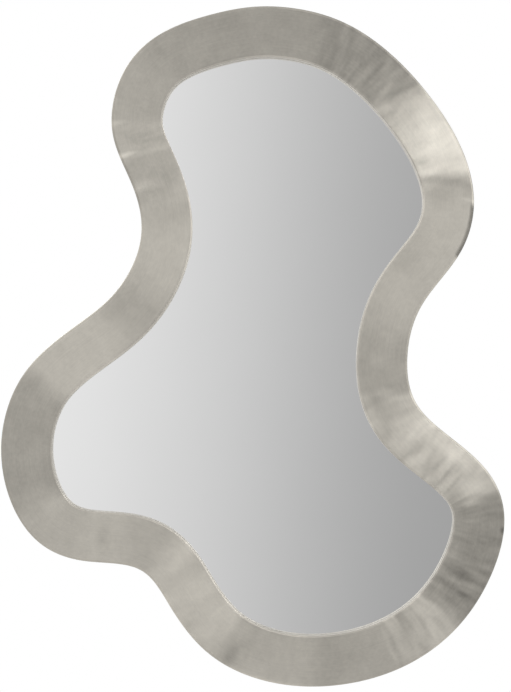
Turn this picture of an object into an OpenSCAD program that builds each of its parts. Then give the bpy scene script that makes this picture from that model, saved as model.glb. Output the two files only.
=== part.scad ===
// Wall mirror with a free pebble outline, a flat brushed metal band and a set-back glass.
// X runs to the right as seen from the front, Y runs from the front to the wall, Z is up.
// The origin lies in the plane of the wall, in the middle of the outline's width and height.

/* [Outline] */
// Width of the mirror over the metal
frame_w = 676; // [600:2:760]
// Height of the mirror over the metal
frame_h = 914; // [810:2:1030]
// Width of the flat metal band, from the outer side to the opening
band_w = 68; // [56:1:80]
// Straight walls between two neighbouring bends of the outline
bend_steps = 5; // [3:1:7]

/* [Metal skin] */
// Thickness of the metal sheet and strips
metal_t = 1; // [0.6:0.1:1.2]
// Outer radius of the rolled outer edge
outer_roll_r = 3; // [2.5:0.5:5]
// Outer radius of the rolled edge at the opening
inner_roll_r = 1.8; // [1.8:0.1:3]
// Width of the flange that turns in behind the core
flange_w = 8; // [6:0.5:10]

/* [Wood] */
// Thickness of the core ring under the band
core_t = 9; // [8:1:16]
// Thickness of the back panel
panel_t = 6; // [5:0.5:9]
// Gap between the flange and the edge of the back panel
panel_gap = 4; // [2:0.5:8]

/* [Glass] */
// Thickness of the glass
glass_t = 4; // [3:0.5:6]
// How far the glass reaches behind the band
glass_lap = 8; // [6:0.5:11]
// Room between the edge of the glass and the spacer ring
glass_room = 2; // [1:0.5:3]
// Thickness of the foam tape in front of the glass
gasket_t = 0.9; // [0.5:0.1:2]
// Width of the foam tape in front of the glass
gasket_w = 4; // [3:0.5:5]
// Thickness of the silver layer and its paint
coating_t = 0.1; // [0.1:0.1:0.3]
// Thickness of the foam sheet behind the glass
foam_t = 1; // [0.5:0.1:3]

/* [Hangers] */
// How far each hanger sits in from the side of the outline
hanger_inset = 40; // [36:1:44]
// Radius of the wire of the D-rings
wire_r = 1.5; // [1:0.1:1.8]
// Inner width of the D-rings
ring_in_w = 22; // [20:1:24]
// Reach of a D-ring, from the middle of its bar to the middle of its bow
ring_reach = 18; // [16:0.5:20]
// Bend radius at the corners of a D-ring, in the middle of the wire
ring_corner_r = 3; // [2.5:0.1:3.5]
// Width of the folded strap
strap_w = 18; // [14:1:18]
// Thickness of the strap's steel, which lies double
strap_steel_t = 1.2; // [0.8:0.1:1.5]
// Room between the ring's bow and the head of the first strap screw
strap_screw_room = 3; // [1:0.5:5]
// Distance between the two strap screws
strap_screw_pitch = 12; // [10:0.5:14]
// Length of the strap past its last screw
strap_end_l = 8; // [5:0.5:12]

/* [Screws] */
// Number of screws in the back panel
panel_screw_count = 14; // [10:1:18]
// Distance of a panel screw from the edge of the panel
panel_screw_inset = 8; // [7:0.5:9]
// Number of tacks in the flange
tack_count = 18; // [12:1:24]
// Shank radius of the screws
screw_r = 1.6; // [1.2:0.1:1.8]
// Head radius of the screws
screw_head_r = 3.4; // [3:0.1:3.6]
// Head height of the screws
screw_head_h = 2; // [1.5:0.1:2.2]
// Shank radius of the tacks
tack_r = 0.8; // [0.6:0.1:1]
// Head radius of the tacks
tack_head_r = 2; // [1.5:0.1:2.2]
// Head height of the tacks
tack_head_h = 0.8; // [0.5:0.1:1]

/* [Bumpers] */
// Height of the rubber bumpers, which sets the mirror off the wall
bumper_h = 8; // [7:0.5:12]
// Radius of a bumper where it is glued on
bumper_r = 9; // [7:0.5:10]
// How far a bumper narrows towards the wall
bumper_taper = 1; // [0.5:0.1:2]
// Edge radius of a bumper at the wall
bumper_edge_r = 1.5; // [1:0.1:2]
// How far a bumper's middle sits in from the outline
bumper_inset = 38; // [36:1:44]

/* [Hidden] */

// Steps in a full turn of a round shape
$fn = 48;
// Rounds of relaxing that settle the slopes of the outline
slope_rounds = 30;
// Steps of the rolled edges
outer_roll_steps = 4;
inner_roll_steps = 3;
// Glue line between the curved walls of the skin and the core
glue_gap = 0.3;
// Room round a screw or tack in its hole, on the radius
hole_room = 0.1;
// Room round the ring's bar in the strap's loop, on the radius
bar_room = 0.15;
// Gap between the ring's bow and the strap that it lies on
rest_gap = 0.3;
// Set-back of the foam tape from the edge of the core ring
gasket_setback = 1.2;
// Depth that a tack or screw stops short of the front of the spacer ring
tip_room = 1;
// Length by which every cut runs past the solid that it cuts
overrun = 1;

// Bends of the outline, clockwise from the top, as shares of its width and height
outline_shares = [
    [0.534, 1.000], [0.663, 0.982], [0.773, 0.931], [0.857, 0.863], [0.916, 0.790],
    [0.940, 0.711], [0.909, 0.633], [0.838, 0.562], [0.808, 0.487], [0.824, 0.418],
    [0.892, 0.367], [0.972, 0.311], [1.000, 0.234], [0.960, 0.142], [0.881, 0.068],
    [0.772, 0.020], [0.644, 0.000], [0.519, 0.009], [0.411, 0.049], [0.337, 0.116],
    [0.274, 0.172], [0.167, 0.184], [0.073, 0.213], [0.015, 0.281], [0.002, 0.371],
    [0.047, 0.461], [0.141, 0.526], [0.229, 0.581], [0.278, 0.660], [0.259, 0.740],
    [0.221, 0.817], [0.242, 0.901], [0.316, 0.959], [0.423, 0.989]
];
// Height of the ring bars above the middle, as a share of the mirror's height
hanger_height_share = 0.26;
// Places of the bumpers along the outline, clockwise from the top, as shares of its length
bumper_run_shares = [0.89, 0.11, 0.61, 0.42];

// Depths, from the front of the mirror towards the wall
spacer_t = gasket_t + glass_t + coating_t + foam_t;
core_depth = metal_t + glue_gap + core_t;
front_y = -(core_depth + spacer_t + panel_t + bumper_h);
core_back_y = front_y + core_depth;
glass_y = core_back_y + gasket_t;
coating_y = glass_y + glass_t;
foam_y = coating_y + coating_t;
panel_y = core_back_y + spacer_t;
panel_back_y = panel_y + panel_t;

// Insets from the outline
core_inset = metal_t + glue_gap;
core_inner_inset = band_w - metal_t - glue_gap;
glass_inset = band_w - glass_lap;
spacer_inner_inset = glass_inset - glass_room;
gasket_inner_inset = core_inner_inset - gasket_setback;
panel_inset = flange_w + panel_gap;
screw_line_inset = panel_inset + panel_screw_inset;
tack_line_inset = (metal_t + flange_w) / 2;

// Hangers
strap_t = 2 * strap_steel_t;
bar_bore_r = wire_r + bar_room;
loop_r = bar_bore_r + strap_steel_t;
bar_y = panel_back_y + loop_r;
hanger_z = hanger_height_share * frame_h;
leg_x = ring_in_w / 2 + wire_r;
strap_screw_first = ring_reach + wire_r + strap_screw_room + screw_head_r;
strap_l = strap_screw_first + strap_screw_pitch + strap_end_l;
ring_tilt = asin((strap_t + wire_r + rest_gap - loop_r) / ring_reach);
hanger_screw_l = strap_t + panel_t + spacer_t - tip_room;

// One member of a list that closes on itself
function around(list, i) = list[(i + len(list)) % len(list)];

// Slopes at the bends that give the closed curve through them an even bend throughout
function relaxed(p, m, rounds) =
    rounds < 1 ? m : relaxed(p, [for (i = [0 : len(p) - 1])
        (3 * (around(p, i + 1) - around(p, i - 1)) - around(m, i - 1) - around(m, i + 1)) / 4
    ], rounds - 1);

// Point and direction of the curve, a share t of the way from one bend to the next
function curve_point(a, b, ma, mb, t) =
    (2 * t^3 - 3 * t^2 + 1) * a + (3 * t^2 - 2 * t^3) * b + (t^3 - 2 * t^2 + t) * ma + (t^3 - t^2) * mb;
function curve_slope(a, b, ma, mb, t) =
    6 * (t^2 - t) * (a - b) + (3 * t^2 - 4 * t + 1) * ma + (3 * t^2 - 2 * t) * mb;

// The curve as shares of the outline's box, each entry a point and the direction there
bend_slopes = relaxed(outline_shares, [for (p = outline_shares) [0, 0]], slope_rounds);
share_curve = [for (i = [0 : len(outline_shares) - 1], k = [0 : bend_steps - 1])
    let (a = outline_shares[i], b = around(outline_shares, i + 1))
    let (ma = bend_slopes[i], mb = around(bend_slopes, i + 1), t = k / bend_steps)
    [curve_point(a, b, ma, mb, t), curve_slope(a, b, ma, mb, t)]];
curve_low = [for (axis = [0, 1]) min([for (s = share_curve) s[0][axis]])];
curve_high = [for (axis = [0, 1]) max([for (s = share_curve) s[0][axis]])];
curve_scale = [frame_w / (curve_high[0] - curve_low[0]), frame_h / (curve_high[1] - curve_low[1])];
curve_middle = (curve_low + curve_high) / 2;

// Stations round the outline, each a point and the direction straight inwards
function sized(v) = [v[0] * curve_scale[0], v[1] * curve_scale[1]];
function inward(v) = [v[1], -v[0]] / norm(v);
stations = [for (s = share_curve) [sized(s[0] - curve_middle), inward(sized(s[1]))]];
station_count = len(stations);
function inset_point(s, inset) = s[0] + s[1] * inset;

// Running length of the outline up to each station, and the station at a share of the whole
function edge_l(i) = norm(around(stations, i + 1)[0] - stations[i][0]);
run_l = [for (i = 0, run = 0; i < station_count; run = run + edge_l(i), i = i + 1) run];
outline_l = run_l[station_count - 1] + edge_l(station_count - 1);
function station_at(run_share) =
    stations[[for (i = [0 : station_count - 1]) if (run_l[i] >= run_share * outline_l) i][0]];

// Where the outline crosses a height
function crossings(z) = [for (i = [0 : station_count - 1])
    let (a = stations[i][0], b = around(stations, i + 1)[0])
    if ((a[1] - z) * (b[1] - z) < 0) a[0] + (z - a[1]) / (b[1] - a[1]) * (b[0] - a[0])];
left_x = min(crossings(hanger_z)) + hanger_inset;
right_x = max(crossings(hanger_z)) - hanger_inset;

// Places of the screws and tacks in the plane of the wall
panel_screw_places = [for (i = [0 : panel_screw_count - 1])
    inset_point(station_at((i + 0.25) / panel_screw_count), screw_line_inset)];
tack_places = [for (i = [0 : tack_count - 1])
    inset_point(station_at((i + 0.5) / tack_count), tack_line_inset)];
strap_screw_drops = [strap_screw_first, strap_screw_first + strap_screw_pitch];

// A flat shape of the outline, a given distance inside it, and the ring between two of them
module outline_shape(inset) {
    polygon([for (s = stations) inset_point(s, inset)]);
}

module ring_shape(outer_inset, inner_inset) {
    difference() {
        outline_shape(outer_inset);
        outline_shape(inner_inset);
    }
}

// An upright slab of a flat shape, from one depth back towards the wall
module slab(y, thick) {
    translate([0, y + thick, 0])
        rotate([90, 0, 0])
            linear_extrude(thick) children();
}

// A closed band that carries a section round the outline. Its points are insets and depths.
module swept_band(section) {
    n = len(section);
    points = [for (s = stations, p = section)
        let (q = inset_point(s, p[0])) [q[0], front_y + p[1], q[1]]];
    faces = [for (i = [0 : station_count - 1], j = [0 : n - 1])
        let (a = i * n, b = (i + 1) % station_count * n, k = (j + 1) % n)
        each [[a + j, a + k, b + k], [a + j, b + k, b + j]]];
    polyhedron(points, faces);
}

// Quarter rounds of a section, from the outer side to the face and from the face to the opening
function outer_round(r, steps) = [for (i = [0 : steps])
    let (a = 90 * i / steps) [outer_roll_r - r * cos(a), outer_roll_r - r * sin(a)]];
function inner_round(r, steps) = [for (i = [0 : steps])
    let (a = 90 * i / steps) [band_w - inner_roll_r + r * sin(a), inner_roll_r - r * cos(a)]];
function backwards(list) = [for (i = [len(list) - 1 : -1 : 0]) list[i]];

// A screw or tack that stands in the XZ plane at a place, with its head towards the wall
module facing_wall(place, y) {
    translate([place[0], y, place[1]])
        rotate([-90, 0, 0]) children();
}

// A countersunk screw with its head's top at the origin, or the hole for it
module flat_screw(depth, room, top) {
    translate([0, 0, -depth - room])
        cylinder(h = depth + room, r = screw_r + room);
    translate([0, 0, -screw_head_h])
        cylinder(h = screw_head_h, r1 = screw_r + room, r2 = screw_head_r + room);
    if (top > 0)
        cylinder(h = top, r = screw_head_r + room);
}

// A round-headed screw or tack with the underside of its head at the origin
module round_screw(depth, shank_r, head_r, head_h) {
    cap_r = (head_r^2 + head_h^2) / (2 * head_h);
    translate([0, 0, -depth])
        cylinder(h = depth, r = shank_r);
    rotate_extrude()
        intersection() {
            translate([0, head_h - cap_r]) circle(r = cap_r, $fn = 4 * $fn);
            square([head_r, head_h]);
        }
}

module face_sheet() {
    outer_side = concat(outer_round(outer_roll_r, outer_roll_steps), inner_round(inner_roll_r, inner_roll_steps));
    inner_side = concat(
        backwards(inner_round(inner_roll_r - metal_t, inner_roll_steps)),
        backwards(outer_round(outer_roll_r - metal_t, outer_roll_steps)));
    color([0.67, 0.65, 0.61])
        swept_band(concat(outer_side, inner_side));
}

module edge_strip() {
    color([0.62, 0.6, 0.56])
        difference() {
            union() {
                slab(front_y + outer_roll_r, panel_y + metal_t - front_y - outer_roll_r)
                    ring_shape(0, metal_t);
                slab(panel_y, metal_t) ring_shape(0, flange_w);
            }
            tack_holes();
        }
}

module lining_strip() {
    color([0.74, 0.72, 0.68])
        slab(front_y + inner_roll_r, core_depth - inner_roll_r)
            ring_shape(band_w - metal_t, band_w);
}

module core_ring() {
    section = concat(
        outer_round(outer_roll_r - core_inset, outer_roll_steps),
        inner_round(inner_roll_r - core_inset, inner_roll_steps),
        [[core_inner_inset, core_depth], [core_inset, core_depth]]);
    color([0.72, 0.58, 0.42])
        swept_band(section);
}

module spacer_ring() {
    color([0.68, 0.54, 0.38])
        difference() {
            slab(core_back_y, spacer_t) ring_shape(core_inset, spacer_inner_inset);
            tack_holes();
            panel_screw_holes();
            strap_screw_holes();
        }
}

module glass_gasket() {
    color([0.2, 0.2, 0.2])
        slab(core_back_y, gasket_t)
            ring_shape(gasket_inner_inset - gasket_w, gasket_inner_inset);
}

module mirror_glass() {
    color([0.78, 0.82, 0.83])
        slab(glass_y, glass_t) outline_shape(glass_inset);
}

module silver_coating() {
    color([0.35, 0.4, 0.42])
        slab(coating_y, coating_t) outline_shape(glass_inset);
}

module foam_sheet() {
    color([0.9, 0.9, 0.88])
        slab(foam_y, foam_t) outline_shape(glass_inset);
}

module back_panel() {
    color([0.12, 0.12, 0.12])
        difference() {
            slab(panel_y, panel_t) outline_shape(panel_inset);
            panel_screw_holes();
            strap_screw_holes();
        }
}

module panel_screws() {
    color([0.7, 0.7, 0.68])
        for (place = panel_screw_places)
            facing_wall(place, panel_back_y)
                flat_screw(panel_t + spacer_t - tip_room, 0, 0);
}

module panel_screw_holes() {
    for (place = panel_screw_places)
        facing_wall(place, panel_back_y)
            flat_screw(panel_t + spacer_t - tip_room, hole_room, overrun);
}

module strip_tacks() {
    color([0.7, 0.7, 0.68])
        for (place = tack_places)
            facing_wall(place, panel_y + metal_t)
                round_screw(metal_t + spacer_t - tip_room, tack_r, tack_head_r, tack_head_h);
}

module tack_holes() {
    for (place = tack_places)
        facing_wall(place, panel_y + metal_t)
            translate([0, 0, -metal_t - spacer_t + tip_room - hole_room])
                cylinder(h = metal_t + spacer_t + overrun, r = tack_r + hole_room);
}

// The folded strap of one hanger, with its bar axis at a place along X
module strap(x) {
    fold = [strap_t - loop_r, -2 * loop_r];
    touch_a = atan2(fold[1], fold[0]) + acos(loop_r / norm(fold));
    color([0.66, 0.67, 0.68])
        difference() {
            translate([x - strap_w / 2, bar_y, hanger_z])
                rotate([90, 0, 90])
                    linear_extrude(strap_w)
                        difference() {
                            union() {
                                circle(r = loop_r);
                                polygon([
                                    [0, 0], [-loop_r, 0], [-loop_r, -strap_l], [fold[0], -strap_l],
                                    fold, loop_r * [cos(touch_a), sin(touch_a)]]);
                            }
                            circle(r = bar_bore_r);
                        }
            for (drop = strap_screw_drops)
                facing_wall([x, hanger_z - drop], panel_back_y - overrun)
                    cylinder(h = strap_t + 2 * overrun, r = screw_r + hole_room);
        }
}

// The wire ring of one hanger, which hangs down over its strap and rests on it
module d_ring(x) {
    straight_l = ring_reach - leg_x - ring_corner_r;
    color([0.72, 0.73, 0.74])
        translate([x, bar_y, hanger_z])
            rotate([ring_tilt, 0, 0]) {
                translate([ring_corner_r - leg_x, 0, 0])
                    rotate([0, 90, 0]) cylinder(h = 2 * (leg_x - ring_corner_r), r = wire_r);
                for (side = [-1, 1]) {
                    translate([side * leg_x, 0, -ring_corner_r - straight_l])
                        cylinder(h = straight_l, r = wire_r);
                    translate([side * (leg_x - ring_corner_r), 0, -ring_corner_r])
                        wire_bend(ring_corner_r, side > 0 ? 0 : 90, 90);
                }
                translate([0, 0, -ring_corner_r - straight_l])
                    wire_bend(leg_x, 180, 180);
            }
}

// A bend of the wire in the XZ plane, from one angle on by another
module wire_bend(r, from, by) {
    rotate([90, 0, 0])
        rotate([0, 0, from])
            rotate_extrude(angle = by)
                translate([r, 0]) circle(r = wire_r);
}

module strap_screws(x) {
    color([0.75, 0.72, 0.6])
        for (drop = strap_screw_drops)
            facing_wall([x, hanger_z - drop], panel_back_y + strap_t)
                round_screw(hanger_screw_l, screw_r, screw_head_r, screw_head_h);
}

module strap_screw_holes() {
    for (x = [left_x, right_x], drop = strap_screw_drops)
        facing_wall([x, hanger_z - drop], panel_back_y + strap_t)
            translate([0, 0, -hanger_screw_l - hole_room])
                cylinder(h = hanger_screw_l + overrun, r = screw_r + hole_room);
}

// A round rubber bumper that narrows to a flat face at the wall
module bumper(number) {
    top_r = bumper_r - bumper_taper;
    color([0.1, 0.1, 0.1])
        facing_wall(inset_point(station_at(bumper_run_shares[number]), bumper_inset), panel_back_y)
            rotate_extrude() {
                polygon([
                    [0, 0], [bumper_r, 0], [top_r, bumper_h - bumper_edge_r],
                    [top_r - bumper_edge_r, bumper_h - bumper_edge_r], [0, bumper_h - bumper_edge_r]]);
                translate([0, bumper_h - bumper_edge_r])
                    square([top_r - bumper_edge_r, bumper_edge_r]);
                translate([top_r - bumper_edge_r, bumper_h - bumper_edge_r])
                    intersection() {
                        circle(r = bumper_edge_r);
                        square([bumper_edge_r, bumper_edge_r]);
                    }
            }
}

face_sheet();
edge_strip();
lining_strip();
core_ring();
spacer_ring();
glass_gasket();
mirror_glass();
silver_coating();
foam_sheet();
back_panel();
panel_screws();
strip_tacks();
strap(left_x);  // left_strap
strap(right_x);  // right_strap
d_ring(left_x);  // left_d_ring
d_ring(right_x);  // right_d_ring
strap_screws(left_x);  // left_strap_screws
strap_screws(right_x);  // right_strap_screws
bumper(0);  // top_left_bumper
bumper(1);  // top_right_bumper
bumper(2);  // bottom_left_bumper
bumper(3);  // bottom_right_bumper
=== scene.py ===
# %% [markdown]
# A pebble-shaped wall mirror: a broad flat band of brushed metal round a set-back glass.
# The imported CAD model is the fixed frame. Everything made here sits in it, in metres, with
# the wall at y = 0, the front towards -y and z up.
# %% Load the frame
import functools
import math

import bmesh
import bpy
from mathutils import Matrix, Vector, noise


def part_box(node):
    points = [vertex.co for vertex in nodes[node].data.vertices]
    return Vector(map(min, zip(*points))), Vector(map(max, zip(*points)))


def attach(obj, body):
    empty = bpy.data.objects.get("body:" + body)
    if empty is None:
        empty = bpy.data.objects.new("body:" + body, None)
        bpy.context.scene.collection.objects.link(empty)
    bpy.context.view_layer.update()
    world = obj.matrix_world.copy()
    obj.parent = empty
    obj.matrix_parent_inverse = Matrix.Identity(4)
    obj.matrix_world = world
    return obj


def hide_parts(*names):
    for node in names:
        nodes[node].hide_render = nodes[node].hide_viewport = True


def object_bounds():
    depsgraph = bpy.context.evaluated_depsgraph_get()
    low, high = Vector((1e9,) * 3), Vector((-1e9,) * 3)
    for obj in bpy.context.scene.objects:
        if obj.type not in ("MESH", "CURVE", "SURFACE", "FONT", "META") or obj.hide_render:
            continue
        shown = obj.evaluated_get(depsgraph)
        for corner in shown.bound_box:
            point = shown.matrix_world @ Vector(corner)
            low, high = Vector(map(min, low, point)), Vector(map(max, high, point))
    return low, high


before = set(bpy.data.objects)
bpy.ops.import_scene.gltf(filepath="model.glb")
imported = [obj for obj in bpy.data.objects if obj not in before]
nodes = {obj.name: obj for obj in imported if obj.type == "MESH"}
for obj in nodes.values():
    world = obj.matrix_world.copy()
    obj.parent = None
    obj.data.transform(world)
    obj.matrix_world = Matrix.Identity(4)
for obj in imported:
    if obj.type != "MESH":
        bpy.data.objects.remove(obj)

MM = 0.001
scene = bpy.context.scene
cad_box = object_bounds()
print("CAD nodes:", len(nodes), "box:", [round(x, 4) for x in (*cad_box[0], *cad_box[1])])

# %% [markdown]
# The outline is the whole design, so every metal piece follows it. The CAD model holds it as a
# ring of straight walls. A flat cut through the edge strip leaves two loops, and the taller one
# has the corners of those walls. Cutting the model is better than drawing the outline again,
# because the cut can't drift from the part.
# %% Read the outline's corners off the CAD model
FACE_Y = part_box("face_sheet")[0].y
STRIP_LOW, STRIP_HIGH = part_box("edge_strip")
LINING_LOW, LINING_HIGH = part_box("lining_strip")
WELD_GAP = 0.001 * MM


def merged_copy(node):
    """A bmesh of a CAD node with its loose triangles joined."""
    bm = bmesh.new()
    bm.from_mesh(nodes[node].data)
    bmesh.ops.remove_doubles(bm, verts=bm.verts, dist=WELD_GAP)
    return bm


def cut_loops(node, low, high):
    """The closed loops where a cut halfway from low to high meets a CAD node, tallest first."""
    bm = merged_copy(node)
    bmesh.ops.bisect_plane(bm, geom=[*bm.verts, *bm.edges, *bm.faces],
                           plane_co=(low + high) / 2, plane_no=(0, 1, 0),
                           clear_inner=True, clear_outer=True)
    bmesh.ops.dissolve_limit(bm, angle_limit=math.radians(0.05), verts=bm.verts, edges=bm.edges)
    loops, left = [], set(bm.verts)
    while left:
        loop = [left.pop()]
        while True:
            near = [e.other_vert(loop[-1]) for e in loop[-1].link_edges]
            onward = [vert for vert in near if vert in left]
            if not onward:
                break
            left.discard(onward[0])
            loop.append(onward[0])
        loops.append([v.co.copy() for v in loop])
    bm.free()
    return sorted(loops, key=lambda loop: -max(p.z for p in loop))


def clockwise_from_top(points):
    """The same loop, started at its top and going to the right as seen from the front."""
    top = max(range(len(points)), key=lambda i: points[i].z)
    points = points[top:] + points[:top]
    return points if points[1].x > points[0].x else points[:1] + points[:0:-1]


corners = clockwise_from_top(cut_loops("edge_strip", STRIP_LOW, STRIP_HIGH)[0])
print("corners of the outline:", len(corners))

# %% [markdown]
# A Bezier curve with automatic handles runs smoothly through the corners, as a spline held by
# nails does on a workbench. Turned into a mesh, it is a ring of short edges that every sweep
# starts from.
# %% A smooth ring through the corners
STEPS_PER_WALL = 6


def smooth_ring(points, steps):
    """A mesh ring along the smooth closed curve through the points."""
    curve = bpy.data.curves.new("outline", "CURVE")
    curve.dimensions = "3D"
    curve.resolution_u = steps
    spline = curve.splines.new("BEZIER")
    spline.bezier_points.add(len(points) - 1)
    for bezier, point in zip(spline.bezier_points, points):
        bezier.co = (point.x, 0, point.z)
        bezier.handle_left_type = bezier.handle_right_type = "AUTO"
    spline.use_cyclic_u = True
    carrier = bpy.data.objects.new("outline", curve)
    scene.collection.objects.link(carrier)
    bpy.context.view_layer.update()
    ring = bpy.data.meshes.new_from_object(carrier)
    bpy.data.objects.remove(carrier)
    bpy.data.curves.remove(curve)
    return ring


ring_mesh = smooth_ring(corners, STEPS_PER_WALL)
outline = [v.co.copy() for v in ring_mesh.vertices]
COUNT = len(outline)
print("stations round the outline:", COUNT)

# %% [markdown]
# Each station needs its point, the direction straight into the band, and how far along the
# outline it lies. The inward direction is the direction of travel turned by a quarter.
# %% Stations round the outline
def station(i):
    return outline[i % COUNT]


inward, run = [], [0.0]
for i in range(COUNT):
    ahead = (station(i + 1) - station(i - 1)).normalized()
    inward.append(Vector((ahead.z, 0, -ahead.x)))
    run.append(run[-1] + (station(i + 1) - station(i)).length)
OUTLINE_L = run[-1]
print("outline length:", round(OUTLINE_L / MM), "mm")

# %% [markdown]
# The metal skin is bent sheet: a flat face with a round roll at each edge. A maker draws its
# section once and runs it round the outline, and the same is done here. The ring is extruded
# edge by edge, and each new ring is moved to the next point of the section. The UV map is in
# metres, U across the band and V along it, so that the brushing can follow the band.
# %% Carry a section round the outline
def flat(i, inset, depth):
    """The point at station i, inset from the outline and depth behind the face."""
    return outline[i] + inward[i] * inset + Vector((0, FACE_Y + depth, 0))


def drawn_out(bm, edges):
    """Extrudes edges, and gives the new points and the new edges between them."""
    made = bmesh.ops.extrude_edge_only(bm, edges=edges)["geom"]
    fresh = {g for g in made if isinstance(g, bmesh.types.BMVert)}
    return fresh, [g for g in made if isinstance(g, bmesh.types.BMEdge) and set(g.verts) <= fresh]


def finished(name, bm, smooth_angle=40):
    """The object of a finished bmesh, shaded smooth except over sharp edges."""
    bmesh.ops.recalc_face_normals(bm, faces=bm.faces)
    mesh = bpy.data.meshes.new(name)
    bm.to_mesh(mesh)
    bm.free()
    mesh.shade_smooth()
    mesh.set_sharp_from_angle(angle=math.radians(smooth_angle))
    piece = bpy.data.objects.new(name, mesh)
    scene.collection.objects.link(piece)
    return piece


def sweep(name, section, place=flat, marks=None, coats=None):
    """A closed piece with the given section of (inset, depth) pairs, carried round the outline.

    marks gives the attributes of a point, and coats the material slot of each step of the section.
    """
    bm = bmesh.new()
    bm.from_mesh(ring_mesh)
    bm.verts.layers.int.new("station")
    grain = bm.loops.layers.uv.new("grain")
    layers = {key: bm.verts.layers.float.new(key) for key in (marks(0, 0) if marks else ())}
    at = bm.verts.layers.int["station"]

    def settle(vert, point):
        vert.co = place(vert[at], *point)
        for key, value in (marks(vert[at], point[0]) if marks else {}).items():
            vert[layers[key]] = value

    for i, vert in enumerate(list(bm.verts)):
        vert[at] = i
        settle(vert, section[0])
    edges, across = list(bm.edges), 0.0
    for k, (before, after) in enumerate(zip(section, [*section[1:], section[0]])):
        fresh, edges = drawn_out(bm, edges)
        for vert in fresh:
            settle(vert, after)
        step = math.dist(before, after)
        for face in {face for edge in edges for face in edge.link_faces}:
            face.material_index = coats[k] if coats else 0
            closes = {v[at] for v in face.verts} == {0, COUNT - 1}
            for loop in face.loops:
                i = COUNT if closes and loop.vert[at] == 0 else loop.vert[at]
                loop[grain].uv = (across + step * (loop.vert in fresh), run[i])
        across += step
    bmesh.ops.remove_doubles(bm, verts=bm.verts, dist=WELD_GAP / 10)
    return finished(name, bm)


def arc(centre, radius, start, stop, steps):
    """Points of an arc in a section, with angles in degrees from the inset axis."""
    angles = [math.radians(start + (stop - start) * k / steps) for k in range(steps + 1)]
    return [(centre[0] + radius * math.cos(a), centre[1] + radius * math.sin(a)) for a in angles]


print("faces that each step of a section adds:", COUNT)

# %% [markdown]
# The band's highlights and shade are partly painted into its colour, a stretch at a time: each
# stretch has painted highlight or painted shade, and stronger or weaker painted highlight streaks
# and waves. These lists say where, in millimetres clockwise from the top. A spot is a small soft
# patch of painted highlight or painted shade. The outer rim is painted darker at two places: a
# painted dark reflection from 418 to 492 mm, and a dark mark from 922 to 930 mm. No mark has a
# ruled edge, so smooth noise shifts each a little along the band.
# %% Painted highlights, painted shade and painted streaks of the band
# start, end, softness, lean from outside to opening, painted light outside, painted light at the
# opening (above 0 painted highlight, below 0 painted shade), streaks (waves and painted streaks)
PAINTED_STRETCHES = [
    (-30, 85, 60, 0, 0.05, 0.07, 0.0),
    (85, 234, 40, 0, -0.17, -0.09, 0.6),
    (236, 378, 8, -26, 0.10, 0.07, 0.25),
    (402, 610, 70, 0, 0.30, 0.21, 0.0),
    (690, 870, 14, -10, 0.30, 0.02, 0.6),
    (872, 1062, 18, 0, -0.24, -0.16, 0.4),
    (976, 1040, 30, 0, -0.05, -0.04, 0.3),
    (1076, 1122, 20, -6, 0.29, 0.21, 0.8),
    (1122, 1166, 10, 8, 0.08, 0.09, 0.6),
    (1285, 1400, 60, 0, 0.27, 0.24, 0.1),
    (1440, 1560, 90, 0, 0.26, 0.34, 0.15),
    (1562, 1750, 60, 0, 0.12, 0.14, 0.0),
    (1780, 1978, 60, 0, -0.11, -0.08, 0.0),
    (1980, 2108, 48, 0, 0.21, 0.24, 0.0),
    (2108, 2168, 20, 0, 0.03, 0.04, 0.0),
    (2170, 2246, 40, 0, 0.20, 0.24, 0.0),
    (2266, 2372, 24, 0, -0.10, -0.14, 0.1),
    (2500, 2650, 80, 0, -0.07, -0.04, 0.0),
]
# place along, inset, half length, half width, lean from outside to opening, painted light
# (above 0 painted highlight, below 0 painted shade)
PAINTED_SPOTS = [
    (210, 46, 8, 30, -6, 0.20),
    (227, 16, 8, 46, -12, -0.24),
    (222, 62, 16, 22, 0, 0.34),
    (366, 8, 14, 26, -20, 0.12),
    (335, 56, 20, 32, -10, -0.20),
    (368, 58, 14, 24, -8, -0.12),
    (377, 34, 13, 56, -28, -0.22),
    (409, 4, 4, 20, 0, 0.22),
    (698, 62, 24, 14, 0, 0.28),
    (690, 30, 6, 46, 8, -0.14),
    (706, 18, 9, 30, 0, 0.12),
    (740, 14, 6, 22, 0, -0.12),
    (733, 46, 7, 26, 4, -0.16),
    (750, 46, 8, 30, 0, -0.22),
    (779, 42, 10, 30, 0, -0.22),
    (801, 44, 8, 32, 0, -0.24),
    (823, 40, 9, 28, 0, -0.20),
    (776, 16, 66, 12, 0, 0.18),
    (852, 26, 22, 30, -8, 0.40),
    (872, 42, 12, 24, 0, 0.36),
    (880, 55, 30, 8, 0, -0.10),
    (1009, 30, 10, 46, 8, -0.20),
    (1032, 24, 8, 17, 0, -0.16),
    (1047, 2, 8, 14, 0, -0.15),
    (1068, 40, 7, 36, 0, -0.14),
    (1092, 34, 12, 44, 0, 0.08),
    (1132, 40, 8, 40, 4, -0.08),
    (1412, 14, 16, 24, 0, -0.20),
    (1412, 54, 26, 26, 0, 0.18),
    (1518, 40, 36, 50, 0, 0.10),
    (1640, 34, 14, 40, 10, -0.13),
    (1976, 14, 22, 26, 0, -0.07),
    (2334, 4, 6, 26, -12, 0.48),
    (2324, 40, 7, 40, -10, 0.12),
    (2290, 14, 12, 36, -10, 0.20),
    (2344, 42, 8, 46, -10, -0.10),
    (2356, 34, 12, 50, 0, -0.10),
    (2380, 6, 6, 22, 0, 0.24),
]
# the outer rim painted darker: a painted dark reflection, then a dark mark
# start, end, darkness
RIM_DARKENING = [(418, 492, 1.0), (922, 930, 0.5)]
# length of a darkening's soft ends, and the insets between which it fades out
DARKENING_SOFT, DARKENING_FROM, DARKENING_TO = 8, 2.6, 4.4
# strength of the waves and painted streaks outside the listed stretches
BASE_STREAKS = 0.05
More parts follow.
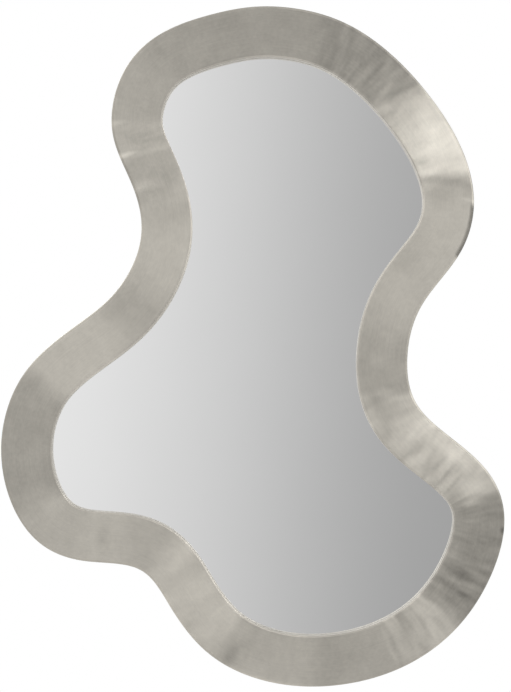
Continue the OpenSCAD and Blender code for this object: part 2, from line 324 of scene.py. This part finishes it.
# most that noise shifts a mark, in millimetres, and the length and width of its waves
WANDER, WANDER_L, WANDER_W = 6, 45 * MM, 40 * MM
WANDER_SEED, RIPPLE_SEED, SWELL_SEED = 5, 3, 11
lining_loops = cut_loops("lining_strip", LINING_LOW, LINING_HIGH)
BAND_W = STRIP_HIGH.z - max(p.z for p in lining_loops[1])
OUTER_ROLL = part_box("face_sheet")[1].y - FACE_Y
INNER_ROLL = LINING_LOW.y - FACE_Y


def eased(value, low, high):
    """Runs smoothly from 0 at low to 1 at high."""
    share = min(1.0, max(0.0, (value - low) / (high - low)))
    return share * share * (3 - 2 * share)


def past(along, place):
    """How far along lies past a place, the short way round the outline, in millimetres."""
    whole = OUTLINE_L / MM
    return (along - place + whole / 2) % whole - whole / 2


def stretch(along, start, end, soft):
    """1 between start and end of the run round the outline, and soft at both ends."""
    half = (end - start) / 2
    return 1 - eased(abs(past(along, (start + end) / 2)), half - soft / 2, half + soft / 2)


def ring_noise(i, wave_l, across, seed):
    """Smooth noise along the outline that closes on itself."""
    angle = 2 * math.pi * run[i] / OUTLINE_L
    radius = OUTLINE_L / (2 * math.pi * wave_l)
    return noise.noise(Vector((radius * math.cos(angle), radius * math.sin(angle), seed + across)))


@functools.cache
def painted_marks_and_waves(i, inset):
    """The painted light, the waves and painted streaks, and the rim darkening at a station and
    inset.
    """
    share, inset_mm = inset / BAND_W, inset / MM
    along = run[i] / MM + WANDER * ring_noise(i, WANDER_L, inset / WANDER_W, WANDER_SEED)
    painted_tone, waves_and_painted_streaks = 0.0, BASE_STREAKS
    # stretches of painted highlight and painted shade
    for start, end, soft, lean, outer_painted, inner_painted, streaks in PAINTED_STRETCHES:
        inside = stretch(along - lean * share, start, end, soft)
        painted_tone += inside * (outer_painted + (inner_painted - outer_painted) * share)
        waves_and_painted_streaks += inside * streaks
    # small spots of painted highlight and painted shade
    for middle, depth, half_long, half_wide, lean, spot_painted in PAINTED_SPOTS:
        long = past(along - lean * (share - depth / BAND_W * MM), middle) / half_long
        wide = (inset_mm - depth) / half_wide
        painted_tone += spot_painted * (1 - eased(math.hypot(long, wide), 0, 1))
    # the outer rim painted darker where listed
    rim_dark = max(dark * stretch(run[i] / MM, start, end, DARKENING_SOFT)
                for start, end, dark in RIM_DARKENING)
    rim_dark *= 1 - eased(inset_mm, DARKENING_FROM, DARKENING_TO)
    return {"painted_tone": painted_tone, "waves_and_painted_streaks": waves_and_painted_streaks, "rim_dark": rim_dark}


print("band width:", round(BAND_W / MM, 1), "mm, stretches:", len(PAINTED_STRETCHES), "painted_spots:", len(PAINTED_SPOTS))

# %% [markdown]
# A broad thin sheet is never dead flat either. Rolling leaves it with shallow waves across the
# band, a few hundredths of a millimetre high. They can't be seen in themselves, but they break
# the highlights into streaks. The waves are real geometry here, made of smooth noise taken on a
# circle, so that the end of the run meets its start. The sheet has three coats: one for the face,
# one for the rolled rim and the hidden back, and one for the lip at the opening.
# %% The rolled face sheet
METAL_T = 1 * MM
RIPPLE_L, RIPPLE_W, RIPPLE_H = 15 * MM, 60 * MM, 0.035 * MM
SWELL_L, SWELL_W, SWELL_H = 80 * MM, 150 * MM, 0.12 * MM
RIM_STEPS, FACE_COLUMNS, LIP_STEPS = 6, 18, 5
FACE_COAT, RIM_COAT, LIP_COAT = 0, 1, 2


def wavy(i, inset, depth):
    """A point of the face sheet, with its shallow waves."""
    point = flat(i, inset, depth)
    fade = max(0, min(1, inset / OUTER_ROLL, (BAND_W - inset) / INNER_ROLL))
    ripple = RIPPLE_H * ring_noise(i, RIPPLE_L, inset / RIPPLE_W, RIPPLE_SEED)
    swell = SWELL_H * ring_noise(i, SWELL_L, inset / SWELL_W, SWELL_SEED)
    point.y += fade * painted_marks_and_waves(i, inset)["waves_and_painted_streaks"] * (ripple + swell)
    return point


def face_section(outer, inner, columns):
    """One side of the sheet's section, from the outer side over the face to the opening."""
    rim = arc((OUTER_ROLL, OUTER_ROLL), outer, 180, 270, RIM_STEPS)
    lip = arc((BAND_W - INNER_ROLL, INNER_ROLL), inner, 270, 360, LIP_STEPS)
    first, face_y = rim[-1]
    width = lip[0][0] - first
    return [*rim, *[(first + width * k / columns, face_y) for k in range(1, columns)], *lip]


front = face_section(OUTER_ROLL, INNER_ROLL, FACE_COLUMNS)
back = face_section(OUTER_ROLL - METAL_T, INNER_ROLL - METAL_T, 1)[::-1]
coats = [RIM_COAT] * RIM_STEPS + [FACE_COAT] * FACE_COLUMNS + [LIP_COAT] * LIP_STEPS
coats += [RIM_COAT] * (len(back) + 1)
band_face = sweep("band_face", [*front, *back], wavy, painted_marks_and_waves, coats)
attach(band_face, "mirror")
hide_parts("face_sheet")
print("band face:", len(band_face.data.polygons), "faces")

# %% [markdown]
# The outer strip closes the side and turns in behind the core as a flange, with a small bend
# radius where it turns. The inner strip lines the opening down towards the glass. From the
# front it is the thin light line between the band and the mirror.
# %% The edge strip and the lining strip
FLANGE_W = 8 * MM
BEND_R, OUTER_BEND_STEPS, INNER_BEND_STEPS = 1.6 * MM, 5, 3
strip_front, strip_back = STRIP_LOW.y - FACE_Y, STRIP_HIGH.y - FACE_Y
bend_centre = (BEND_R, strip_back - BEND_R)
band_side = sweep("band_side", [
    (METAL_T, strip_front), (0, strip_front),
    *arc(bend_centre, BEND_R, 180, 90, OUTER_BEND_STEPS),
    (FLANGE_W, strip_back), (FLANGE_W, strip_back - METAL_T),
    *arc(bend_centre, BEND_R - METAL_T, 90, 180, INNER_BEND_STEPS)])
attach(band_side, "mirror")
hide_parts("edge_strip")

lining_back = LINING_HIGH.y - FACE_Y
opening_lining = sweep("opening_lining", [
    (BAND_W - METAL_T, INNER_ROLL), (BAND_W, INNER_ROLL),
    (BAND_W, lining_back), (BAND_W - METAL_T, lining_back)])
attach(opening_lining, "mirror")
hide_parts("lining_strip")
print("edge strip:", round((strip_back - strip_front) / MM, 1), "mm deep")

# %% [markdown]
# The panel screws are countersunk with a cross recess, the strap screws are domed with one, and
# the tacks are plain domed nails. A head starts as a small grid whose square is drawn out to a
# circle. The faces of the cross are inset and sunk, which leaves the sloping walls that a driver
# needs, and the rim is extruded in to the shank and down to the tip. The sizes are the CAD model's.
# %% Screws and tacks
SCREW_HEAD_H, SCREW_SHANK_R = 2 * MM, 1.6 * MM
TACK_HEAD_H, TACK_SHANK_R = 0.8 * MM, 0.8 * MM
HEAD_GRID = 7
# the cross is the grid's middle row and column, without the outermost faces
CROSS_ARM_W, CROSS_ARM_L = 1 / HEAD_GRID, 5 / HEAD_GRID
CROSS_SLOPE_SHARE, CROSS_DEPTH_SHARE = 0.06, 0.4
# radians from each screw to the next
TURN_EACH = 2.4


def screw_mesh(head_r, head_h, shank_r, length, domed, cross):
    """A screw along the z axis, with the top of its head at the origin."""
    bm = bmesh.new()
    bmesh.ops.create_grid(bm, x_segments=HEAD_GRID, y_segments=HEAD_GRID, size=1)
    rim = [e for e in bm.edges if e.is_boundary]
    centres = {face: face.calc_center_median() for face in bm.faces}
    arms = [face for face, centre in centres.items()
            if min(map(abs, centre[:2])) < CROSS_ARM_W and centre.length < CROSS_ARM_L]
    for vert in bm.verts:
        x, y = vert.co.x, vert.co.y
        x, y = x * math.sqrt(1 - y * y / 2), y * math.sqrt(1 - x * x / 2)
        vert.co = (x * head_r, y * head_r, -head_h * (x * x + y * y) if domed else 0)
    for depth in (head_h, length):
        fresh, rim = drawn_out(bm, rim)
        for vert in fresh:
            shank = vert.co.xy.normalized() * shank_r
            vert.co = (shank.x, shank.y, -depth)
    bmesh.ops.edgeloop_fill(bm, edges=rim)
    if cross:
        bm.normal_update()
        bmesh.ops.inset_region(bm, faces=arms, thickness=CROSS_SLOPE_SHARE * head_r,
                               depth=-CROSS_DEPTH_SHARE * head_h, use_even_offset=True)
    bmesh.ops.recalc_face_normals(bm, faces=bm.faces)
    mesh = bpy.data.meshes.new("screw")
    bm.to_mesh(mesh)
    bm.free()
    return mesh


def screw_places(node):
    """The lowest and highest corner of each separate screw of a CAD node."""
    bm = merged_copy(node)
    left, places = set(bm.verts), []
    while left:
        island, edge = set(), [left.pop()]
        while edge:
            vert = edge.pop()
            island.add(vert)
            near = {e.other_vert(vert) for e in vert.link_edges} & left
            left -= near
            edge.extend(near)
        places.append(tuple(Vector([pick(v.co[k] for v in island) for k in range(3)])
                            for pick in (min, max)))
    bm.free()
    return sorted(places, key=lambda place: (place[0].z, place[0].x))


def screws(name, node, head_h=SCREW_HEAD_H, shank_r=SCREW_SHANK_R, domed=True, cross=True):
    """Replaces the screws of a CAD node, each turned a different way as hands leave them."""
    places = screw_places(node)
    low, high = places[0]
    mesh = screw_mesh((high.x - low.x) / 2, head_h, shank_r, high.y - low.y, domed, cross)
    bm = bmesh.new()
    for k, (low, high) in enumerate(places):
        known = set(bm.verts)
        bm.from_mesh(mesh)
        fresh = [v for v in bm.verts if v not in known]
        for turn, axis in ((TURN_EACH * k, "Z"), (math.radians(-90), "X")):
            bmesh.ops.rotate(bm, verts=fresh, matrix=Matrix.Rotation(turn, 3, axis))
        bmesh.ops.translate(bm, verts=fresh,
                            vec=((low.x + high.x) / 2, high.y, (low.z + high.z) / 2))
    piece = finished(name, bm, smooth_angle=30)
    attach(piece, "mirror")
    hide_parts(node)
    print(name + ":", len(places))
    return piece


hardware = [
    screws("panel_screw_heads", "panel_screws", domed=False),
    screws("left_strap_screw_heads", "left_strap_screws"),
    screws("right_strap_screw_heads", "right_strap_screws"),
    screws("flange_tacks", "strip_tacks", TACK_HEAD_H, TACK_SHANK_R, cross=False)]

# %% [markdown]
# Materials and the world are small node trees. One helper has short ways to add and join nodes,
# so that each finish below reads as a recipe. The other starts a material with its main shader
# and puts it on pieces.
# %% Helpers for node trees
class Recipe:
    """Short ways to add and join the nodes of a tree."""

    def __init__(self, tree):
        self.tree = tree

    def put(self, socket, value):
        """Joins an output to a socket, or sets the socket's value."""
        if isinstance(value, bpy.types.NodeSocket):
            self.tree.links.new(value, socket)
        else:
            socket.default_value = value

    def add(self, kind, settings=None, **inputs):
        """A node with its settings, and each named input set or joined."""
        node = self.tree.nodes.new(kind)
        for key, value in (settings or {}).items():
            setattr(node, key, value)
        for key, value in inputs.items():
            self.put(node.inputs[key.replace("_", " ")], value)
        return node

    def of_two(self, kind, operation, a, b):
        """The first output of a node that works on its first two inputs."""
        node = self.add(kind, {"operation": operation})
        self.put(node.inputs[0], a)
        self.put(node.inputs[1], b)
        return node.outputs[0]

    def math(self, operation, a, b):
        return self.of_two("ShaderNodeMath", operation, a, b)

    def total(self, *values):
        """The sum of several values."""
        return functools.reduce(lambda a, b: self.math("ADD", a, b), values)

    def span(self, value, low, high, start=0.3, stop=0.7):
        """Maps start..stop to low..high, and stays there outside."""
        node = self.add("ShaderNodeMapRange", Value=value, From_Min=start, From_Max=stop,
                        To_Min=low, To_Max=high)
        return node.outputs["Result"]

    def ray(self, kind):
        """1 for rays of a kind, and 0 for all the others."""
        return self.add("ShaderNodeLightPath").outputs[kind]

    def mixed(self, share, first, second):
        """One surface that turns into another as share goes from 0 to 1."""
        node = self.add("ShaderNodeMixShader", Fac=share)
        self.put(node.inputs[1], first)
        self.put(node.inputs[2], second)
        return node.outputs["Shader"]


class Finish(Recipe):
    """A material under construction."""

    def __init__(self, name, **constants):
        self.material = bpy.data.materials.new(name)
        self.material.use_nodes = True
        super().__init__(self.material.node_tree)
        self.shader = self.tree.nodes["Principled BSDF"]
        self.surface(**constants)

    def surface(self, **inputs):
        """Joins or sets inputs of the main shader."""
        for key, value in inputs.items():
            self.put(self.shader.inputs[key.replace("_", " ")], value)

    def place(self):
        return self.add("ShaderNodeTexCoord").outputs["Object"]

    def attribute(self, name):
        return self.add("ShaderNodeAttribute", {"attribute_name": name}).outputs["Fac"]

    def noise(self, vector, scale, detail=2.0, roughness=0.5):
        """Noise with the given cycles per metre along each axis."""
        mapping = self.add("ShaderNodeMapping", Vector=vector, Scale=scale)
        texture = self.add("ShaderNodeTexNoise", Vector=mapping.outputs["Vector"], Scale=1.0,
                           Detail=detail, Roughness=roughness)
        return texture.outputs["Fac"]

    def scaled(self, vector, factor):
        node = self.add("ShaderNodeVectorMath", {"operation": "SCALE"}, Vector=vector, Scale=factor)
        return node.outputs["Vector"]

    def tint(self, share, dark, light):
        """A colour between two others."""
        node = self.add("ShaderNodeMix", {"data_type": "RGBA"}, Factor=share,
                        A=(*dark, 1), B=(*light, 1))
        return node.outputs["Result"]

    def bump(self, height, distance):
        return self.add("ShaderNodeBump", Height=height, Distance=distance).outputs["Normal"]

    def wear(self, *pieces, slot=0):
        """Puts the material in a slot of pieces, the first one unless it is named."""
        for piece in pieces:
            while len(piece.material_slots) <= slot:
                piece.data.materials.append(None)
            piece.material_slots[slot].material = self.material
        print("finish", self.material.name, "on", ", ".join(piece.name for piece in pieces))


print("helpers: Recipe for any node tree, Finish for a material")

# %% [markdown]
# Brushed metal is anisotropic: the fine grooves run along the band, so each highlight is drawn
# out across it. The Tangent node gives the shader the U direction of the UV map, which runs
# across the band. Long thin noise stands for the grooves, noise that is long across the band
# paints highlight streaks into the colour, and cloudy noise stands for uneven pressure. The painted
# highlight and shade of each stretch, and the painted dark rim, come from the attributes that the
# sweep left on the face. Rolling wore the grain off the rim and the lip, so their coats are duller
# and their shine isn't drawn out. The edge strip keeps a little of its grain, and the lining none.
# %% Brushed metal
# cycles per metre across the band and along it, where the third number has no effect
GROOVES, GRAIN, STREAKS, DRIFTS = (1100, 9, 1), (260, 170, 1), (22, 66, 1), (14, 12, 1)
# cycles per metre in all three directions
CLOUDS, DABS = (24, 24, 24), (75, 75, 75)
# how much lighter or darker each of them makes the metal
GROOVE_TONE, GRAIN_TONE, CLOUD_TONE, DAB_TONE = 0.045, 0.045, 0.07, 0.025
# how strongly the painted streaks and the painted dark rim change the colour
PAINTED_STREAK_TONE, RIM_DARK_TONE = 0.2, 0.8
STREAK_DRIFT = 14 * MM
GROOVE_DEPTH = 0.002 * MM
ROUGHNESS_SPREAD = 0.04


def with_painted_marks(finish, uv, shade):
    """The shade of the metal with its painted highlights and shade, painted streaks and dark rim.
    """
    sideways = finish.add("ShaderNodeCombineXYZ", Y=finish.noise(uv, DRIFTS, detail=1))
    drift = finish.scaled(sideways.outputs["Vector"], STREAK_DRIFT)
    drifted = finish.of_two("ShaderNodeVectorMath", "ADD", uv, drift)
    # painted highlight streaks across the band
    streaks = finish.span(finish.noise(drifted, STREAKS, detail=1.2), -PAINTED_STREAK_TONE, PAINTED_STREAK_TONE)
    streaks = finish.math("MULTIPLY", streaks, finish.attribute("waves_and_painted_streaks"))
    # the rim painted darker: a painted dark reflection and a dark mark
    rim_dark = finish.math("MULTIPLY", finish.attribute("rim_dark"), RIM_DARK_TONE)
    return finish.math("SUBTRACT", finish.total(shade, finish.attribute("painted_tone"), streaks), rim_dark)


def brushed_metal(name, colour, roughness, anisotropic, with_painted_light=False):
    """Brushed nickel, with painted highlights, shade and streaks where the piece carries them."""
    finish = Finish(name, Metallic=1.0, Anisotropic=anisotropic)
    uv = finish.add("ShaderNodeUVMap", {"uv_map": "grain"}).outputs["UV"]
    grooves = finish.noise(uv, GROOVES, roughness=0.6)
    grain = finish.noise(uv, GRAIN, detail=2.5, roughness=0.6)
    clouds = finish.noise(finish.place(), CLOUDS, detail=3, roughness=0.65)
    dabs = finish.noise(finish.place(), DABS, detail=1.5)
    shade = finish.total(finish.span(grooves, 1 - GROOVE_TONE, 1 + GROOVE_TONE),
                         finish.span(grain, -GRAIN_TONE, GRAIN_TONE),
                         finish.span(clouds, -CLOUD_TONE, CLOUD_TONE),
                         finish.span(dabs, -DAB_TONE, DAB_TONE))
    if with_painted_light:
        shade = with_painted_marks(finish, uv, shade)
    tangent = finish.add("ShaderNodeTangent", {"direction_type": "UV_MAP", "uv_map": "grain"})
    finish.surface(Base_Color=finish.scaled(colour, shade),
                   Roughness=finish.span(clouds, roughness, roughness + ROUGHNESS_SPREAD),
                   Normal=finish.bump(grooves, GROOVE_DEPTH), Tangent=tangent.outputs["Tangent"])
    return finish


# every coat of the face sheet carries the painted highlights, shade and streaks
for name, colour, roughness, anisotropic, coat in (
        ("brushed_band", (0.532, 0.505, 0.451), 0.285, 1.0, FACE_COAT),
        ("rolled_rim", (0.48, 0.455, 0.405), 0.52, 0.0, RIM_COAT),
        ("rolled_lip", (0.57, 0.54, 0.485), 0.5, 0.0, LIP_COAT)):
    brushed_metal(name, colour, roughness, anisotropic, with_painted_light=True).wear(band_face, slot=coat)
brushed_metal("brushed_strip", (0.55, 0.52, 0.465), 0.45, 0.3).wear(band_side)
brushed_metal("polished_lining", (0.86, 0.83, 0.77), 0.6, 0.0).wear(opening_lining)

# %% [markdown]
# The mirror is silvered glass. From the front it is a clean reflector with a faint grey tint, so
# the glass gets a polished metallic shader. A very faint cloudiness in the roughness stands for
# the film that any glass carries.
# %% Mirror glass
mirror = Finish("mirror_glass", Metallic=1.0)
film = mirror.noise(mirror.place(), (9, 9, 9), detail=4)
mirror.surface(Base_Color=mirror.tint(film, (0.91, 0.911, 0.91), (0.933, 0.934, 0.933)),
               Roughness=mirror.span(film, 0.0, 0.02))
mirror.wear(nodes["mirror_glass"])

# %% [markdown]
# The hidden pieces show at the back and in the gaps. Fibreboard has short felted fibres, the
# panel is painted matte black, the hardware is zinc plated and the bumpers are moulded rubber.
# One recipe serves them all: a fine noise and a broad one steer colour, roughness and bump.
# %% Wood, foam, zinc and rubber
BROADER = 20


def speckled(name, dark, light, cycles, rough, bump, *pieces, metallic=0.0):
    """A finish with colours from dark to light in specks, and its roughness from low to high."""
    finish = Finish(name, Metallic=metallic)
    place = finish.place()
    fine = finish.noise(place, (cycles,) * 3, detail=4, roughness=0.6)
    broad = finish.noise(place, (cycles / BROADER,) * 3)
    share = finish.total(finish.span(fine, 0.0, 0.6), finish.span(broad, 0.0, 0.4))
    finish.surface(Base_Color=finish.tint(share, dark, light), Roughness=finish.span(fine, *rough),
                   Normal=finish.bump(fine, bump))
    finish.wear(*pieces)


def grey(level):
    return (level,) * 3


speckled("fibreboard", (0.30, 0.20, 0.12), (0.46, 0.33, 0.21), 900, (0.75, 0.9), 0.05 * MM,
         nodes["core_ring"], nodes["spacer_ring"])
speckled("black_panel", grey(0.012), (0.03, 0.03, 0.031), 700, (0.5, 0.65), 0.03 * MM,
         nodes["back_panel"])
speckled("foam_tape", grey(0.05), grey(0.1), 1500, (0.8, 0.95), 0.1 * MM, nodes["glass_gasket"])
speckled("foam_sheet", (0.62, 0.62, 0.6), (0.8, 0.8, 0.78), 1200, (0.8, 0.95), 0.1 * MM,
         nodes["foam_sheet"])
speckled("silver_coating", (0.13, 0.16, 0.18), (0.19, 0.23, 0.25), 400, (0.4, 0.5), 0.01 * MM,
         nodes["silver_coating"])
speckled("zinc_screws", (0.50, 0.50, 0.47), (0.66, 0.66, 0.63), 800, (0.28, 0.4), 0.01 * MM,
         *hardware, metallic=1.0)
speckled("hanger_steel", (0.46, 0.47, 0.48), (0.6, 0.61, 0.62), 500, (0.32, 0.45), 0.015 * MM,
         nodes["left_strap"], nodes["right_strap"], metallic=1.0)
speckled("ring_steel", (0.58, 0.59, 0.6), (0.7, 0.71, 0.72), 600, (0.18, 0.28), 0.005 * MM,
         nodes["left_d_ring"], nodes["right_d_ring"], metallic=1.0)
speckled("bumper_rubber", grey(0.018), grey(0.04), 1000, (0.6, 0.8), 0.03 * MM,
         *[node for name, node in nodes.items() if name.endswith("bumper")])

# %% [markdown]
# The photograph looks straight at the mirror from about two metres. Its width in pixels and the
# mirror's real width give the scale, and the distance then gives the lens. The sensor's width is
# fitted to the long side of the picture, which here is its height.
# %% Camera
IMAGE_W, IMAGE_H = 511, 692
LEFT_PX, RIGHT_PX, TOP_PX, BOTTOM_PX = 0.8, 504.6, 6.6, 686.3
CAMERA_DISTANCE = 2.2
SENSOR_W = 36
metres_per_px = (STRIP_HIGH.x - STRIP_LOW.x) / (RIGHT_PX - LEFT_PX)
camera = bpy.data.objects.new("camera", bpy.data.cameras.new("camera"))
scene.collection.objects.link(camera)
scene.camera = camera
camera.data.sensor_width = SENSOR_W
camera.data.lens = SENSOR_W * CAMERA_DISTANCE / (IMAGE_H * metres_per_px)
camera_x = (IMAGE_W / 2 - (LEFT_PX + RIGHT_PX) / 2) * metres_per_px
camera_z = ((TOP_PX + BOTTOM_PX) / 2 - IMAGE_H / 2) * metres_per_px
camera.location = (camera_x, FACE_Y - CAMERA_DISTANCE, camera_z)
camera.rotation_euler = (math.radians(90), 0, 0)
print("scale:", round(metres_per_px / MM, 4), "mm a pixel, lens:", round(camera.data.lens, 1), "mm")

# %% [markdown]
# A mirror shows its surroundings, so the studio matters more than the lamps. The camera sees a
# white world. Metal and glass see a pale one, a little lighter above than below, with a soft grey
# dip in the direction of the camera and a little to its right, as from the open door of a white
# room. The dip gives the glass its even shading from left to right, and it calms the metal.
# %% World
AMBIENT = 0.75
# how far to the right a direction points, and the level seen there
GLIMPSES = [(-1.0, 0.95), (-0.5, 0.92), (-0.13, 0.92), (0.0, 0.62),
            (0.12, 0.33), (0.3, 0.52), (0.6, 0.85), (1.0, 0.95)]
RISE, RISE_REACH = 0.12, 0.3
world = bpy.data.worlds.new("studio")
scene.world = world
world.use_nodes = True
sky = Recipe(world.node_tree)
background = sky.tree.nodes["Background"]
coordinates = sky.add("ShaderNodeTexCoord")
direction = sky.add("ShaderNodeSeparateXYZ", Vector=coordinates.outputs["Generated"])
dip = sky.add("ShaderNodeValToRGB", Fac=sky.span(direction.outputs["X"], 0, 1, -1, 1))
dip.color_ramp.interpolation = "B_SPLINE"
while len(dip.color_ramp.elements) < len(GLIMPSES):
    dip.color_ramp.elements.new(0.5)
for element, (x, level) in zip(dip.color_ramp.elements, GLIMPSES):
    element.position = (x + 1) / 2
    element.color = (level, level, level, 1)
rise = sky.span(direction.outputs["Z"], 1 - RISE, 1 + RISE, -RISE_REACH, RISE_REACH)
seen = sky.math("MULTIPLY", dip.outputs["Color"], rise)
strength = AMBIENT
for kind, value in (("Is Glossy Ray", seen), ("Is Transmission Ray", seen), ("Is Camera Ray", 1.0)):
    strength = sky.add("ShaderNodeMix", Factor=sky.ray(kind), A=strength, B=value).outputs["Result"]
sky.put(background.inputs["Color"], (1, 1, 1, 1))
sky.put(background.inputs["Strength"], strength)
print("world: ambient", AMBIENT, "and", len(GLIMPSES), "glimpses")

# %% [markdown]
# The floor is a plain pale sheet well below the mirror, as under a mirror on a wall. The camera
# sees it almost white, and its middle still takes the mirror's shadow. Towards its rim it turns
# transparent for every ray, so that neither the camera nor the glass sees an edge.
# %% Floor
FLOOR_DROP = 0.5
FLOOR_R = 2.8
MIDDLE_R, LIGHT_R = 0.8, FLOOR_R - 0.3
SOLID_R, GONE_R = 1.3, FLOOR_R - 0.1
MIDDLE_WHITENESS, GLOSSY_SHARE = 0.75, 0.6
bm = bmesh.new()
bmesh.ops.create_circle(bm, cap_ends=True, segments=96, radius=FLOOR_R)
bmesh.ops.translate(bm, verts=bm.verts, vec=(0, 0, cad_box[0].z - FLOOR_DROP))
floor = finished("floor", bm)
pale = Finish("pale_floor", Base_Color=(0.86, 0.86, 0.86, 1), Roughness=0.9)
spot = pale.add("ShaderNodeVectorMath", {"operation": "LENGTH"}, Vector=pale.place())
away = spot.outputs["Value"]
glossy = pale.math("MULTIPLY", pale.ray("Is Glossy Ray"), GLOSSY_SHARE)
seen = pale.math("MAXIMUM", pale.ray("Is Camera Ray"),
                 pale.math("MAXIMUM", glossy, pale.ray("Is Transmission Ray")))
whiteness = pale.span(away, MIDDLE_WHITENESS, 1.0, MIDDLE_R, LIGHT_R)
lit = pale.mixed(pale.math("MULTIPLY", whiteness, seen), pale.shader.outputs["BSDF"],
                 pale.add("ShaderNodeEmission").outputs["Emission"])
faded = pale.mixed(pale.span(away, 0.0, 1.0, SOLID_R, GONE_R), lit,
                   pale.add("ShaderNodeBsdfTransparent").outputs["BSDF"])
pale.put(pale.tree.nodes["Material Output"].inputs["Surface"], faded)
pale.wear(floor)
print("floor:", FLOOR_DROP, "m under the mirror")

# %% [markdown]
# One softbox high on the right draws the long highlights, where the brushing runs square to it.
# A grid narrows its beam to the upper right, because the left of the band stays calm. A broad
# soft lamp behind keeps the back from going flat in views from there.
# %% Lamps
def area_lamp(name, place, target, watts, width, height=None, spread=180):
    """A flat lamp that looks at a target, square unless its height is given."""
    made = bpy.data.objects.new(name, bpy.data.lights.new(name, "AREA"))
    scene.collection.objects.link(made)
    made.data.energy = watts
    made.data.shape = "RECTANGLE" if height else "SQUARE"
    made.data.size, made.data.size_y = width, height or width
    made.data.spread = math.radians(spread)
    made.location = place
    made.rotation_euler = (Vector(target) - Vector(place)).to_track_quat("-Z", "Y").to_euler()
    print(name + ":", watts, "W,", width, "m wide, beam", spread, "degrees")


area_lamp("right_softbox", place=(1.5, -1.15, 0.98), target=(0.5, 0, 0.3), watts=0.8,
          width=0.9, height=0.66, spread=40)
area_lamp("back_lamp", place=(-1.2, 1.8, 1.3), target=(0, 0, 0), watts=18, width=1.2)

# %% [markdown]
# The last step sets the Standard view transform.
# %% Finish
scene.view_settings.view_transform = "Standard"
